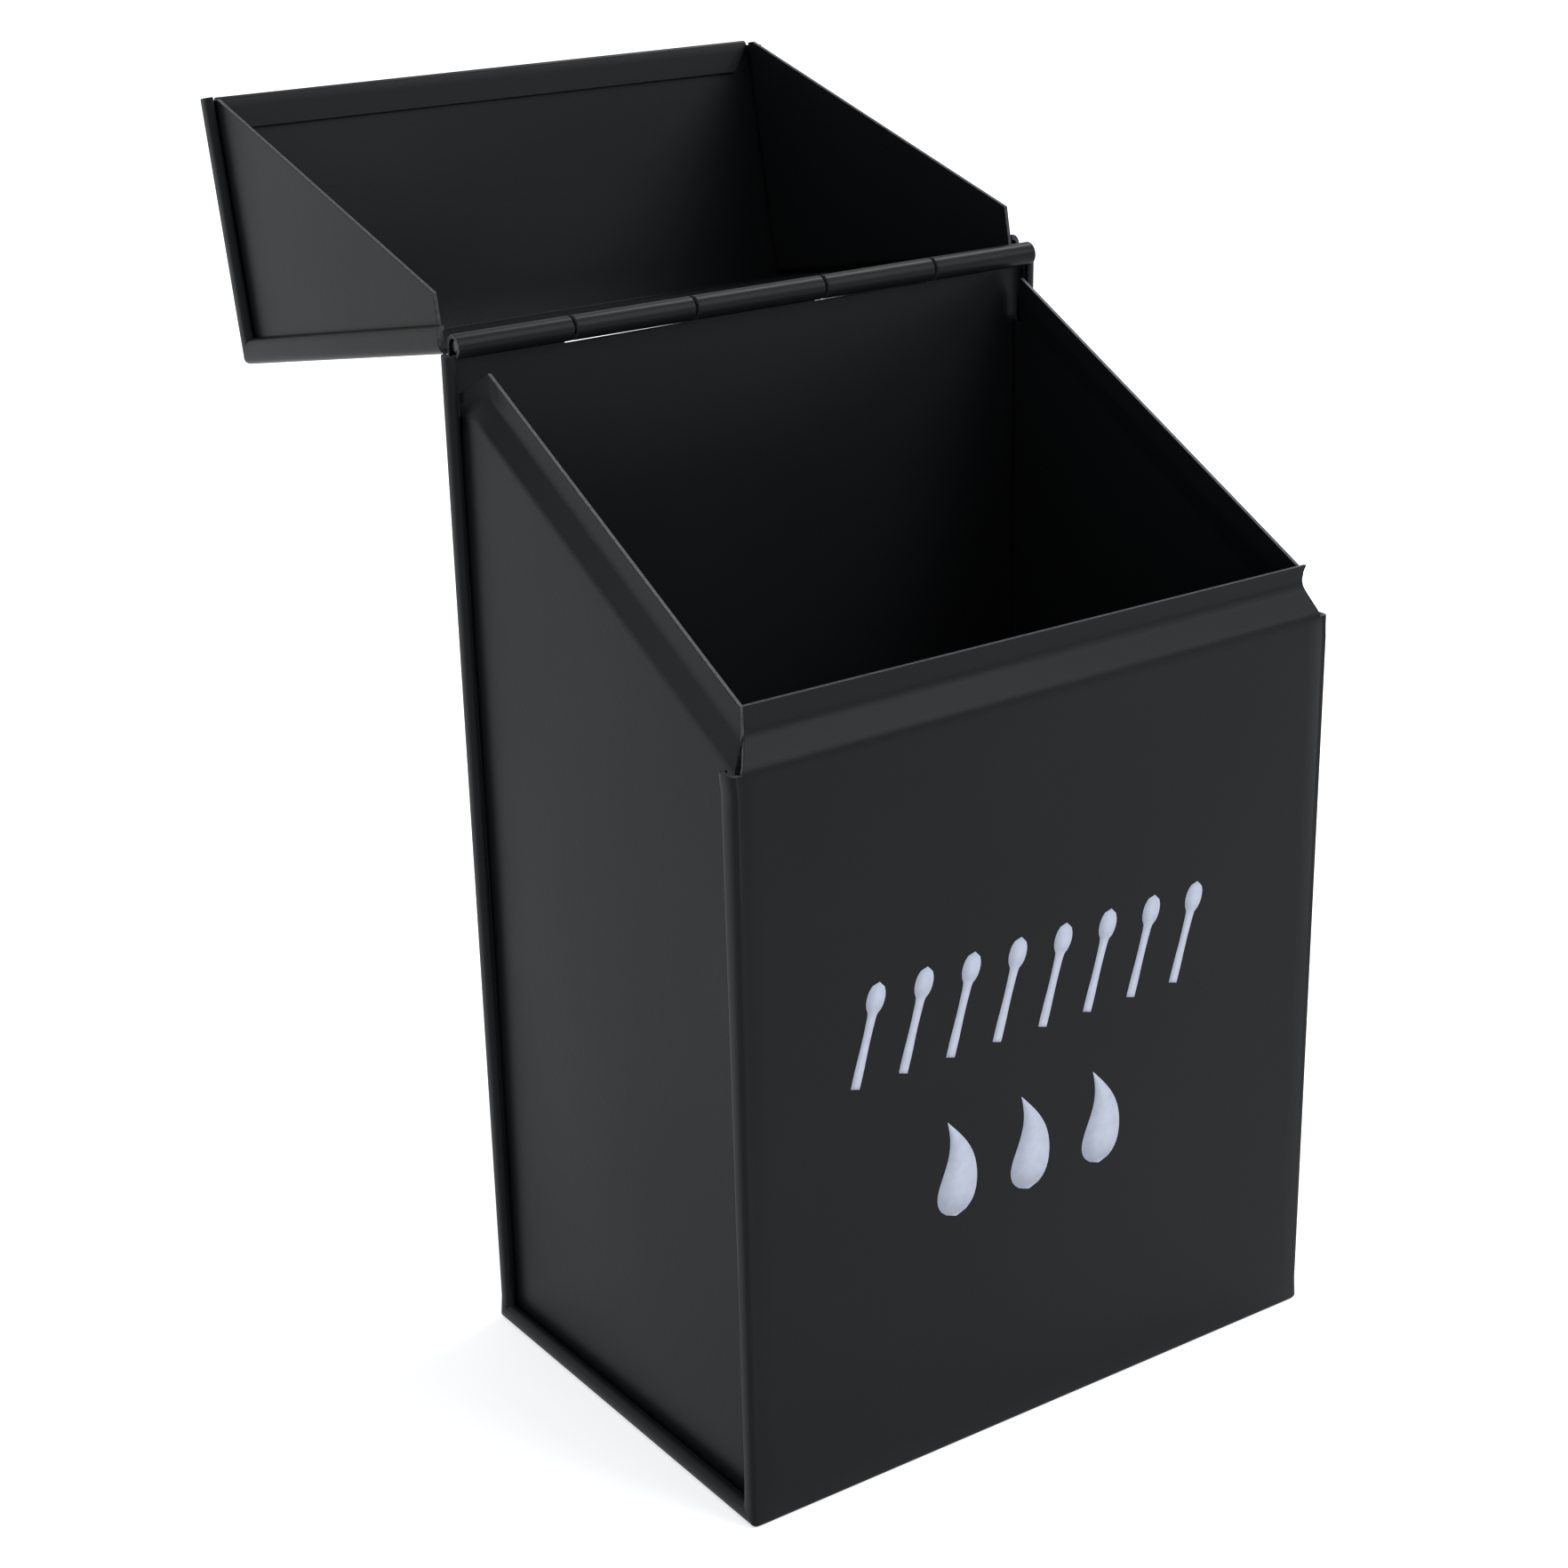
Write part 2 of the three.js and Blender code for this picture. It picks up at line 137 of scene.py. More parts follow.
class MatchboxSizes(bpy.types.PropertyGroup):
    """Sizes of the folded box and its lid."""

    sheet: length("Sheet", "Thickness of the steel sheet", 0.5)
    rim: length("Rim radius", "Outside radius of the rolled rims", 1.2)
    recess: length("Recess", "Side panels lie this far inside the rims", 1.3)
    width: length("Body width", "Width of the body over its rims", 80.0)
    rim_top_front: length("Front rim top", "Height where the two front rims end", 87.2)
    rim_top_back: length("Back rim top", "Height where the two back rims end", 117.9)
    mouth_front: length("Mouth, front", "Height of the neck's edge at the front", 93.5)
    mouth_back: length("Mouth, back", "Height of the neck's edge at the back", 118.0)
    neck_front: length("Front neck inset", "Front neck behind the front panel", 2.3)
    neck_rise: length("Front neck slope", "Height of the sloping band of the front neck", 3.1)
    neck_bend: length("Front neck bend", "Length of each soft bend in the front neck", 1.0)
    neck_side: length("Side neck inset", "Side neck inside the outermost line of the rim", 2.2)
    side_neck_front: length("Side neck, front", "Height of the side neck at the front", 7.0)
    side_neck_back: length("Side neck, back", "Height of the side neck at the back", 5.2)
    side_neck_end: length("Side neck end", "The left neck stops this far in front of the back panel", 5.2)
    knuckle: length("Knuckle radius", "Outside radius of the hinge knuckles", 1.4)
    lid_rise: length("Lid rise", "Top of the shut lid above the hinge axis", 0.74)
    lid_drop: length("Lid drop", "Lower edge of the shut lid's front below the hinge axis", 31.3)
    lid_overhang: length("Lid overhang", "Front of the shut lid ahead of the body", 0.2)
    lid_side_back: length("Lid side, back", "Lower end of a lid side below the hinge axis", 5.9)
    hem: length("Hem", "Height of the flat hem inside the lid's front edge", 4.0)


class MatchboxColours(bpy.types.PropertyGroup):
    """Colours of the paint, the print and the stage."""

    paint: colour("Paint", "Satin black paint", "#17181a")
    # Cut-edge colour: paint rubbed thin, made lighter still so that it also serves as a painted highlight
    # along the edges
    worn: colour("Worn paint", "Paint on the cut edges, rubbed thin", "#55565b")
    ink: colour("Print", "Pale grey-blue printing ink", "#b9bfd0")
    steel: colour("Pin", "Dull steel of the hinge pin", "#55565a")
    floor: colour("Floor", "Pale floor", "#f4f4f4")


def settings():
    """The sizes in millimetres, as a plain name space, with what follows from them and from the frame."""
    group = bpy.context.scene.matchbox_sizes
    names = MatchboxSizes.__annotations__
    values = {name: getattr(group, name) / MM for name in names}
    size = type("Sizes", (), values)
    size.front = BODY_LOW.y / MM
    size.back = BODY_HIGH.y / MM
    size.hinge_y = HINGE["pos_m"][1] / MM
    size.hinge_z = HINGE["pos_m"][2] / MM
    size.hinge_end = BODY_HIGH.x / MM
    size.opening = math.radians(HINGE["range_deg"][1])
    size.lid_width = (LID_HIGH.x - LID_LOW.x) / MM
    size.lid_front = size.front - size.lid_overhang - size.hinge_y
    turn = size.lid_rise * abs(math.sin(size.opening))
    size.lid_back = -(size.knuckle + LID_PLAY + turn) / abs(math.cos(size.opening))
    return size


# Mesh helpers


def filled(knots, step):
    """Positions that hit every knot, with even steps between two knots that are no longer than step."""
    parts = [
        np.linspace(a, b, max(1, math.ceil((b - a) / step)), endpoint=False)
        for a, b in zip(knots[:-1], knots[1:])
    ]
    return np.concatenate([*parts, [knots[-1]]])


def softened(corners, reach, steps=7):
    """A path through corners, each inner corner replaced by the parabola (1-t)^2 a + 2t(1-t) b + t^2 c."""
    corners = np.asarray(corners, float)
    t = np.linspace(0, 1, steps + 1)[:, None]
    parts = [corners[:1]]
    for before, corner, after in zip(corners[:-2], corners[1:-1], corners[2:]):
        a = corner + (before - corner) / np.linalg.norm(before - corner) * reach
        c = corner + (after - corner) / np.linalg.norm(after - corner) * reach
        parts.append((1 - t) ** 2 * a + 2 * t * (1 - t) * corner + t**2 * c)
    return np.concatenate([*parts, corners[-1:]])


def inward(path):
    """Unit normals of a path in the Y-Z plane: its tangent (ty, tz) turned to (-tz, ty)."""
    tangent = np.gradient(path, axis=0)
    tangent /= np.linalg.norm(tangent, axis=1, keepdims=True)
    return np.column_stack([-tangent[:, 1], tangent[:, 0]])


def turned_open(points, size):
    """Turns points of the shut lid, measured from the hinge axis, by the opening angle about that axis."""
    x, y, z = np.moveaxis(points, -1, 0)
    c, s = math.cos(size.opening), math.sin(size.opening)
    return np.stack([x, size.hinge_y + y * c + z * s, size.hinge_z - y * s + z * c], axis=-1)


def mesh_object(name, points, faces, raw=None):
    """A mesh from arrays. Its faces are turned so that the volume, which is the sum of a.(b x c)/6 over
    its triangles, is positive."""
    used, faces = np.unique(faces, return_inverse=True)
    faces = faces.reshape(-1, 4)
    points = points[used]
    a, b, c, d = (points[faces[:, i]] for i in range(4))
    volume = np.einsum("ij,ij->i", a, np.cross(b, c)) + np.einsum("ij,ij->i", a, np.cross(c, d))
    if volume.sum() < 0:
        faces = faces[:, ::-1]
    mesh = bpy.data.meshes.new(name)
    mesh.vertices.add(len(points))
    mesh.vertices.foreach_set("co", (points * MM).astype(np.float32).ravel())
    mesh.loops.add(faces.size)
    mesh.loops.foreach_set("vertex_index", faces.astype(np.int32).ravel())
    mesh.polygons.add(len(faces))
    mesh.polygons.foreach_set("loop_start", np.arange(0, faces.size, 4, dtype=np.int32))
    mesh.polygons.foreach_set("use_smooth", np.ones(len(faces), bool))
    if raw is not None:
        edge = mesh.attributes.new("raw_edge", "FLOAT", "FACE")
        edge.data.foreach_set("value", raw.astype(np.float32))
    mesh.update()
    if mesh.validate():
        raise RuntimeError(f"{name}: the mesh had faulty faces")
    piece = bpy.data.objects.new(name, mesh)
    bpy.context.scene.collection.objects.link(piece)
    return piece


def sheet_object(name, outer, inner, present):
    """A closed sheet: two skins of the same grid, and a wall wherever a face of it has no neighbour."""
    index = np.arange(outer[..., 0].size).reshape(outer.shape[:2])
    corners = [index[:-1, :-1], index[:-1, 1:], index[1:, 1:], index[1:, :-1]]
    skins = np.stack(corners, axis=-1)[present]
    padded = np.pad(present, 1)
    beyond = [padded[:-2, 1:-1], padded[1:-1, 2:], padded[2:, 1:-1], padded[1:-1, :-2]]
    walls = []
    for side, neighbour in enumerate(beyond):
        open_side = present & ~neighbour
        start, end = corners[side][open_side], corners[(side + 1) % 4][open_side]
        walls.append(np.stack([end, start, start + index.size, end + index.size], axis=-1))
    walls = np.concatenate(walls)
    faces = np.concatenate([skins, skins[:, ::-1] + index.size, walls])
    raw = np.concatenate([np.zeros(2 * len(skins)), np.ones(len(walls))])
    points = np.concatenate([outer.reshape(-1, 3), inner.reshape(-1, 3)])
    return mesh_object(name, points, faces, raw)


def rounded(piece):
    """Breaks the cut edges of a sheet with a small live bevel."""
    bevel = piece.modifiers.new("Cut edges", "BEVEL")
    bevel.width = CUT_EDGE * MM
    bevel.segments = 2
    bevel.limit_method = "ANGLE"
    bevel.angle_limit = math.radians(50)
    bevel.use_clamp_overlap = False
    bevel.harden_normals = True


def dressed(piece, body, node, material):
    """Lets a piece ride on its body in place of its CAD node, with its finish."""
    piece.data.materials.clear()
    piece.data.materials.append(material)
    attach(piece, body)
    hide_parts(node)


# Sheet shapes


def wrap_columns(flat, knots, step=2.0):
    """Columns of a folded wrap: the flat panel's x, and the angle by which a rim column is rolled round."""
    angles = np.linspace(0, RIM_SWEEP, RIM_STEPS + 1)[1:]
    panel = filled([-flat, *knots, flat], step)
    base = np.concatenate([np.full(angles.size, -flat), panel, np.full(angles.size, flat)])
    roll = np.concatenate([-angles[::-1], np.zeros(panel.size), angles])
    return base, roll


def stretched(base, flat, left, right):
    """Row by row, moves the columns beyond HELD_WIDTH in proportion, so that the flat half width becomes
    left on the one side and right on the other."""
    beyond = np.maximum(np.abs(base) - HELD_WIDTH, 0)
    width = np.where(base < 0, np.asarray(left)[:, None], np.asarray(right)[:, None])
    scale = (width - HELD_WIDTH) / (flat - HELD_WIDTH)
    return np.sign(base) * (np.minimum(np.abs(base), HELD_WIDTH) + beyond * scale)


def squared(value, power):
    """sign(v) |v|^power of a sine or cosine v. A power below 1 makes a circle into a rounded square."""
    return np.sign(value) * np.abs(value) ** power


def fold(depth, angles):
    """A quarter turn between two faces of the wrap, as the distances depth + r (1 - cos a) from the one
    and depth + r (1 - sin a) from the other."""
    arc = np.maximum(FOLD_RADIUS - depth, MITRE_RADIUS)[None, :]
    angles = angles[:, None]
    return depth + arc * (1 - np.cos(angles)), depth + arc * (1 - np.sin(angles))


def knuckle_marks(size):
    """Ends along X of the five knuckles, as an array of (start, end)."""
    end = size.hinge_end
    middle = MIDDLE_KNUCKLE / 2
    marks = np.array([-end, END_KNUCKLE - end, -middle, middle, end - END_KNUCKLE, end])
    gap = KNUCKLE_GAP / 2
    starts = marks[:-1] + np.array([0, gap, gap, gap, gap])
    ends = marks[1:] - np.array([gap, gap, gap, gap, 0])
    return np.column_stack([starts, ends])


def within(x, spans, margin=0.0):
    """True where x lies in one of the spans."""
    return np.any((x[:, None] > spans[:, 0] - margin) & (x[:, None] < spans[:, 1] + margin), axis=1)


def dished(x, z, width, height, depth):
    """A soft unevenness of a large panel: the sum of two slow waves, zero along the panel's borders."""
    u, v = x / width, z / height
    hold = np.clip(1 - (2 * u) ** 8, 0, 1) * np.clip(np.sin(np.pi * np.clip(v, 0, 1)) * 3, 0, 1)
    long_wave = np.sin(2.3 * np.pi * u + 0.7) * np.cos(1.7 * np.pi * v + 0.4)
    cross_wave = 0.6 * np.sin(1.1 * np.pi * v + 3.1 * u)
    return depth * hold * (long_wave + cross_wave)


def rows_of(counts, first, last):
    """The rows of the blocks from first up to and including last, as a slice."""
    return slice(sum(counts[:first]), sum(counts[: last + 1]))


def rolled(size, radius, turn):
    """Distances from the hinge axis, along the cosine and the sine of turn, of a skin round a knuckle."""
    knuckle = size.knuckle - (size.rim - radius)
    return knuckle * np.cos(turn)[:, None], knuckle * np.sin(turn)[:, None]


def front_neck(size):
    """The outer face of the front neck as a path of (y, z): down its upright band, out along its slope
    and into the front panel."""
    face = size.front + size.neck_front
    corners = [
        [face, size.mouth_front],
        [face, size.rim_top_front + size.neck_rise],
        [size.front, size.rim_top_front],
        [size.front, size.rim_top_front - 3 * size.neck_bend],
    ]
    path = softened(corners, size.neck_bend, 9)[:-1]
    lead = np.linspace(size.mouth_front, path[1, 1], 7)[:-1]
    return np.concatenate([np.column_stack([np.full(lead.size, face), lead]), path[1:]])


def body_widths(size, flat, neck_z, front_z, back_z, counts):
    """Row by row, how far the body's flat panel reaches to the left and to the right. The front neck ends
    just inside the left side neck and laps over the right one. The left rims stand out further than the
    right ones, most of all up the back."""
    end = size.width / 2 - size.neck_side
    slope_top = size.rim_top_front + size.neck_rise
    curl = size.mouth_front - np.array([2.2, 0.9, 0.0])
    marks_z = [size.rim_top_front, slope_top, *curl]
    left_ends = [flat + 0.75, end - 0.05, end - 0.15, end + 0.1, end + 0.1]
    right_ends = [flat - 0.1, end, end, end + 0.15, end + 0.55]
    under = np.ones(sum(counts[2:5]))
    knuckles = np.ones(sum(counts[6:]))
    left = [
        np.interp(neck_z, marks_z, left_ends),
        np.full(front_z.size, flat + 0.6),
        (flat + 0.6) * under,
        flat + np.interp(back_z, [0, size.rim_top_back], [0.35, 0.85]),
        (size.hinge_end - 0.45) * knuckles,
    ]
    right = [
        np.interp(neck_z, marks_z, right_ends),
        np.full(front_z.size, flat),
        (flat + 0.2) * under,
        flat + np.interp(back_z, [0, 60, size.rim_top_back], [0.15, 0.15, 0.85]),
        size.hinge_end * knuckles,
    ]
    return np.concatenate(left), np.concatenate(right)


def body_skin(size, columns, radius):
    """One skin of the body's wrap. Row by row it runs down the neck and the front, under the bottom,
    up the back and round the knuckles. A rim column lies at x = w + r s(sin a) and depth R - r s(cos a),
    where s is the squared function."""
    base, roll = columns
    flat = size.width / 2 - size.rim
    depth = size.rim - radius * squared(np.cos(roll), RIM_SQUARE)
    rim = np.abs(roll) > 0
    ones = np.ones_like(depth)
    neck = front_neck(size)
    normal = inward(neck)
    neck_y = np.where(rim, size.front + depth, neck[:, :1] + normal[:, :1] * depth)
    neck_z = np.where(rim, neck[:, 1:], neck[:, 1:] + normal[:, 1:] * depth)
    front_z = filled([3.0, size.rim_top_front - 2.0], ROW_STEP)[::-1]
    bottom_y = filled([size.front + 3, size.back - 3], ROW_STEP)
    back_z = filled([3.0, size.rim_top_back], ROW_STEP)
    near, far = fold(depth, np.linspace(0, math.pi / 2, 7))
    root_z = np.array([0.95, 1.2, 1.6]) + size.rim_top_back
    roll_y, roll_z = rolled(size, radius, np.linspace(0, KNUCKLE_SWEEP, KNUCKLE_STEPS + 1))
    blocks = [
        (neck_y, neck_z),
        (size.front + depth * np.ones((front_z.size, 1)), front_z[:, None] * ones),
        (size.front + near, far),
        (bottom_y[:, None] * ones, depth * np.ones((bottom_y.size, 1))),
        (size.back - near[::-1], far[::-1]),
        (size.back - depth * np.ones((back_z.size, 1)), back_z[:, None] * ones),
        (size.back - depth * np.ones((root_z.size, 1)), root_z[:, None] * ones),
        ((size.hinge_y + roll_y) * ones, (size.hinge_z + roll_z) * ones),
    ]
    counts = [block[0].shape[0] for block in blocks]
    y = np.concatenate([block[0] for block in blocks])
    z = np.concatenate([block[1] for block in blocks])
    left, right = body_widths(size, flat, neck[:, 1], front_z, back_z, counts)
    x = stretched(base, flat, left, right) + radius * squared(np.sin(roll), RIM_SQUARE)

    # The left front rim is pressed wide at the top and narrow towards the bottom
    neck_rows, front, back = rows_of(counts, 0, 0), rows_of(counts, 0, 1), rows_of(counts, 5, 5)
    wide = np.interp(z[front, :1], [0, 6, 45, size.rim_top_front], [1.0, 0.9, 1.05, 1.3])
    y[front] = np.where(rim, size.front + depth * np.where(roll < 0, wide, 1.0), y[front])
    # A shallow groove where a pressed rim meets the front panel
    groove = np.interp(z[front, :1], [0, 30, size.rim_top_front], [0.05, 0.09, 0.16])
    y[front] += groove * np.isclose(np.abs(roll), RIM_SWEEP / RIM_STEPS)
    # Slots under the second and the fourth knuckle, and the upper ends of the back rims
    notch = within(base, knuckle_marks(size)[1::2], KNUCKLE_GAP + 0.01) & ~rim
    lift = np.interp(base, [-25, -18, -9, 9, 25], [0.73, 0.77, 0.82, 0.8, 0.86])
    z[back.stop - 1] += np.where(rim, 1.7, np.where(notch, lift, 0))
    # The crease under the front neck rises a little to the right
    tilt_marks = [-4, 0, size.neck_rise, size.mouth_front - size.rim_top_front]
    tilt = np.interp(z[neck_rows] - size.rim_top_front, tilt_marks, [0, 1, 1, 0])
    z[neck_rows] += tilt * np.interp(base, [-flat, flat], CREASE_TILT)
    # The back rims are pressed flatter
    y[back] = np.where(rim, size.back - BACK_RIM_DEPTH * (size.back - y[back]), y[back])
    bend = dished(x, z, size.width, size.rim_top_front, DISHING)
    y[front] += np.where(rim, 0, bend[front])
    y[back] -= np.where(rim, 0, bend[back])
    return np.stack([x, y, z], axis=-1), counts


def body_shell(size):
    flat = size.width / 2 - size.rim
    marks = knuckle_marks(size)
    knots = [marks[0, 1], marks[2, 0], marks[2, 1], marks[4, 0]]
    columns = wrap_columns(flat, knots)
    outer, counts = body_skin(size, columns, size.rim)
    inner, _ = body_skin(size, columns, size.rim - size.sheet)
    base, roll = columns
    rim = (np.abs(roll[:-1]) > 0) | (np.abs(roll[1:]) > 0)
    present = np.ones((outer.shape[0] - 1, base.size - 1), bool)
    rows_z = outer[:, base.size // 2, 2]
    above = rows_z[: counts[0] - 1] > size.rim_top_front + RIM_END
    present[: counts[0] - 1][above] &= ~rim
    top = sum(counts[:6]) - 1
    knuckles = within((base[:-1] + base[1:]) / 2, marks[::2]) & ~rim
    present[top:] &= knuckles
    piece = sheet_object("body_shell_sheet", outer, inner, present)
    rounded(piece)
    return piece


def lipped(start, plate, end, depth, size, reach, lip_start=True, lip_end=True):
    """One direction of a side panel: positions and the rise above the plate. At a lip the sheet turns
    outwards on a quarter circle, with position c - (b + depth) cos a and rise b - (b + depth) sin a, and
    goes on up to its tip."""
    angles = np.linspace(0, math.pi / 2, 5)
    arc = LIP_BEND + depth
    lip = np.concatenate([[size.sheet - depth], size.sheet + LIP_BEND - arc * np.cos(angles)])
    rise = np.concatenate([[reach], LIP_BEND - arc * np.sin(angles)])
    parts = [(plate, np.full(plate.size, -depth))]
    if lip_start:
        parts.insert(0, (start + lip, rise))
    if lip_end:
        parts.append((end - lip[::-1], rise[::-1]))
    return np.concatenate([part[0] for part in parts]), np.concatenate([part[1] for part in parts])


def body_side_skin(size, depth, side):
    """One skin of the body's right side panel, or of the left one before it is mirrored. Below the crease
    a row is a share of the height there; above it the sheet is set inwards along a softened slope and ends
    in the straight, slanted edge of the mouth."""
    flange = size.rim - size.sheet / 2
    face = size.width / 2 - size.recess
    reach = size.width / 2 - size.sheet - FIT - face
    first, last = size.front + flange, size.back - flange
    behind, end = 0.0, size.side_neck_end
    if side > 0:
        behind, end = size.sheet + LAP_PLAY, size.side_neck_end - RIGHT_NECK_REACH
    neck_first, neck_last = size.front + size.neck_front + behind, size.back - end
    plate = filled([first + LIP_MARGIN, neck_first, neck_last, last - LIP_MARGIN], 1.8)
    y, rise_y = lipped(first, plate, last, depth, size, reach)
    share = np.clip((y - neck_first) / (neck_last - neck_first), 0, 1)
    inside = (y > neck_first - 0.01) & (y < neck_last + 0.01)
    height = np.interp(share, [0, 1], [size.side_neck_front, size.side_neck_back])
    mouth = np.interp(share, [0, 1], [size.mouth_front, size.mouth_back])
    crease = mouth - height
    # Behind the neck the edge runs down to the plate's upper corner and the inset dies away
    corner = (y > neck_last + 0.01) & (rise_y <= 0.01 - depth)
    fade = np.clip((y - neck_last) / (last - LIP_MARGIN - neck_last), 0, 1)
    height = np.where(inside | corner, height - (size.side_neck_back - NECK_END_HEIGHT) * fade, 0)
    inside = inside | corner
    inset = size.neck_side - size.recess
    profile = softened([[0, -0.2], [0, 0], [-inset, NECK_SLOPE], [-inset, 1]], 0.12, 7)[1:]
    ramp = np.linspace(profile[-2, 1], 1, 6)[1:]
    profile = np.concatenate([profile[:-1], np.column_stack([np.full(ramp.size, -inset), ramp])])
    low, rise_z = lipped(flange, np.array([]), 0, depth, size, reach, lip_end=False)
    foot = low[-1]
    steps = np.linspace(0, 1, 52)[1:, None]
    top = crease + profile[0, 1] * height
    rows_z = np.concatenate(
        [
            low[:, None] * np.ones_like(y),
            foot + steps * (top - foot),
            crease + profile[1:, 1:] * height,
        ]
    )
    rise = np.concatenate([rise_z, np.full(rows_z.shape[0] - rise_z.size, -depth)])
    shift = np.concatenate([np.zeros(rows_z.shape[0] - profile.shape[0] + 1), profile[1:, 0]])
    x = face + np.maximum(rise[:, None], rise_y[None, :]) + shift[:, None] * (1 - fade)
    # The left panel leans out towards the upper back and its neck towards the front, and the right
    # neck leans out towards the back
    toward = (y - size.front) / (size.back - size.front)
    into_neck = (shift[:, None] / -inset) * (1 - fade)
    if side < 0:
        lean = np.interp(rows_z, [0, 60, 113], [0.25, 0.45, 0.8]) * (0.4 + 0.6 * toward)
        x = x + lean * (1 - into_neck) + 0.45 * (1 - toward) * into_neck
    else:
        x = x + 0.4 * toward * into_neck
    held = np.where(rise_y > -depth, 0, 1) * np.clip(rows_z / 8, 0, 1)
    x = x - held * dished(y[None, :], rows_z, 56, 100, SMALL_DISHING)
    points = np.stack([x, np.broadcast_to(y, x.shape), rows_z], axis=-1)
    return points, low.size + steps.size, inside


def body_side(size, side):
    outer, first_neck_row, inside = body_side_skin(size, 0.0, side)
    inner, _, _ = body_side_skin(size, size.sheet, side)
    present = np.ones((outer.shape[0] - 1, outer.shape[1] - 1), bool)
    present[first_neck_row - 1 :] &= inside[:-1] & inside[1:]
    for skin in (outer, inner):
        skin[..., 0] *= side
    name = "body_side_right_sheet" if side > 0 else "body_side_left_sheet"
    piece = sheet_object(name, outer, inner, present)
    rounded(piece)
    return piece


def lid_skin(size, columns, radius):
    """One skin of the lid's wrap, drawn shut and measured from the hinge axis: round the knuckles, down
    their step, forward over the top, down the front and round the flat hem. A rim column lies at
    x = w + r s(sin a) and depth R - r s(cos a), as on the body."""
    base, roll = columns
    flat = size.lid_width / 2 - size.rim
    depth = size.rim - radius * squared(np.cos(roll), RIM_SQUARE)
    rim = np.abs(roll) > 0
    ones = np.ones_like(depth)
    roll_z, roll_y = rolled(size, radius, np.linspace(KNUCKLE_SWEEP, 0, KNUCKLE_STEPS + 1))
    corners = [[0, size.knuckle], [-1.0, size.knuckle], [-3.0, size.lid_rise], [-STEP_END, size.lid_rise]]
    step = softened(corners, 0.5, 4)[1:]
    step_normal = inward(step)
    top_y = filled([size.lid_front + 3, -STEP_END - 0.4], ROW_STEP)[::-1]
    near, far = fold(depth, np.linspace(math.pi / 2, 0, 7))
    fold_out = size.sheet + HEM_BEND
    front_z = filled([fold_out - size.lid_drop, size.lid_rise - 4.4], ROW_STEP)[::-1]
    hem_turn = np.linspace(0, math.pi, 9)[1:]
    hem_arc = fold_out - (size.rim - radius)
    hem_y = np.concatenate(
        [
            size.lid_front + fold_out - hem_arc * np.cos(hem_turn),
            np.full(4, size.lid_front + fold_out + hem_arc),
        ]
    )
    hem_rise = np.linspace(0, size.hem - fold_out, 5)[1:]
    hem_z = np.concatenate([-hem_arc * np.sin(hem_turn), hem_rise]) + fold_out - size.lid_drop
    blocks = [
        (roll_y * ones, roll_z * ones),
        (step[:, :1] + step_normal[:, :1] * depth, step[:, 1:] + step_normal[:, 1:] * depth),
        (top_y[:, None] * ones, size.lid_rise - depth * np.ones((top_y.size, 1))),
        (size.lid_front + near, size.lid_rise - far),
        (size.lid_front + depth * np.ones((front_z.size, 1)), front_z[:, None] * ones),
        (hem_y[:, None] * ones, hem_z[:, None] * ones),
    ]
    counts = [block[0].shape[0] for block in blocks]
    y = np.concatenate([block[0] for block in blocks])
    z = np.concatenate([block[1] for block in blocks])
    # Between the knuckles the sheet runs straight back to its cut edge
    plain = ~within(base, knuckle_marks(size)[1::2], 0.01)
    head = counts[0] + counts[1]
    flat_y = np.interp(np.arange(head), [counts[0] - 1, head - 1], [size.lid_back, step[-1, 0]])
    y[:head] = np.where(plain, flat_y[:, None], y[:head])
    z[:head] = np.where(plain, size.lid_rise - depth, z[:head])
    # The front rims end level with the lid's lower edge, the right one a little higher
    front = rows_of(counts, 4, 4)
    z[front.stop - 1] = np.where(rim, 0.8 * (roll > 0) - size.lid_drop, z[front.stop - 1])
    hem_end = size.lid_width / 2 - size.recess - size.sheet - HEM_PLAY
    hem_width = np.concatenate([np.full(hem_turn.size, hem_end), hem_end - HEM_TAPER * hem_rise])
    width = np.concatenate([np.full(front.stop, flat), hem_width])
    # The rims along the top are pressed wider and flatter than those down the front
    top = rows_of(counts, 0, 3)
    z[top] -= np.where(rim, TOP_RIM_SINK * depth, 0)
    blunt = np.full((y.shape[0], 1), RIM_SQUARE)
    blunt[top] = TOP_RIM_SQUARE
    x = stretched(base, flat, width, width) + radius * squared(np.sin(roll), blunt)
    bend = dished(x, -z, size.lid_width, size.lid_drop, SMALL_DISHING)
    y[front] += np.where(rim, 0, bend[front])
    return np.stack([x, y, z], axis=-1), counts


def lid_shell(size):
    flat = size.lid_width / 2 - size.rim
    marks = knuckle_marks(size)
    columns = wrap_columns(flat, marks.ravel()[1:-1])
    outer, counts = lid_skin(size, columns, size.rim)
    inner, _ = lid_skin(size, columns, size.rim - size.sheet)
    base, roll = columns
    middle = (base[:-1] + base[1:]) / 2
    rim = (np.abs(roll[:-1]) > 0) | (np.abs(roll[1:]) > 0)
    knuckles = within(middle, marks[1::2])
    gaps = within(middle, marks[1::2], KNUCKLE_GAP + 0.01) & ~knuckles
    present = np.ones((outer.shape[0] - 1, base.size - 1), bool)
    present[: counts[0] - 1] &= knuckles
    present[: counts[0] + counts[1] - 3] &= ~gaps
    present[counts[0] - 1 : counts[0]] &= knuckles | ~gaps
    present[sum(counts[:5]) - 1 :] &= ~rim
    piece = sheet_object("lid_shell_sheet", turned_open(outer, size), turned_open(inner, size), present)
    rounded(piece)
    return piece


